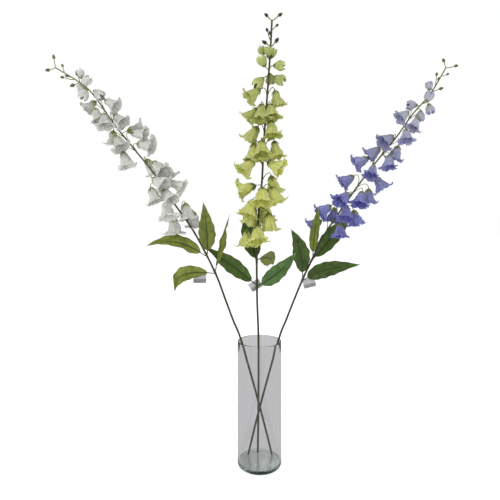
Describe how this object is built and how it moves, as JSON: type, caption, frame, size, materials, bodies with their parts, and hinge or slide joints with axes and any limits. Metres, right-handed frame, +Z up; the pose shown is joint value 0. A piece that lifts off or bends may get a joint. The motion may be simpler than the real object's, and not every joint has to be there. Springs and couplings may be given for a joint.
{
  "type": "bellflower stems in vase",
  "caption": "Tall artificial bellflower stems in white, yellow-green and blue-lilac, fanned out from a clear glass cylinder vase.",
  "frame": {"origin": "middle of the vase's flat foot, on the surface it stands on", "axes": "+Z up along the vase's axis; -Y is the front that the picture shows, so +X is to its right, towards the blue spray"},
  "size_m": [0.8403, 0.188, 0.975],
  "materials": {
    "clear_glass": "clear and polished",
    "white_petals": "matt crinkled fabric",
    "lime_petals": "matt crinkled fabric",
    "blue_petals": "matt crinkled fabric",
    "leaf_fabric": "matt printed fabric",
    "tag_film": "satin film"
  },
  "bodies": {
    "root": {"vase": "clear_glass", "white_spray": "white_petals", "lime_spray": "lime_petals", "blue_spray": "blue_petals", "white_leaf_1": "leaf_fabric", "white_leaf_2": "leaf_fabric", "white_leaf_3": "leaf_fabric", "white_leaf_4": "leaf_fabric", "lime_leaf_1": "leaf_fabric", "lime_leaf_2": "leaf_fabric", "lime_leaf_3": "leaf_fabric", "lime_leaf_4": "leaf_fabric", "blue_leaf_1": "leaf_fabric", "blue_leaf_2": "leaf_fabric", "blue_leaf_3": "leaf_fabric", "blue_leaf_4": "leaf_fabric", "white_tag": "tag_film", "lime_tag": "tag_film", "blue_tag": "tag_film"}
  },
  "joints": []
}
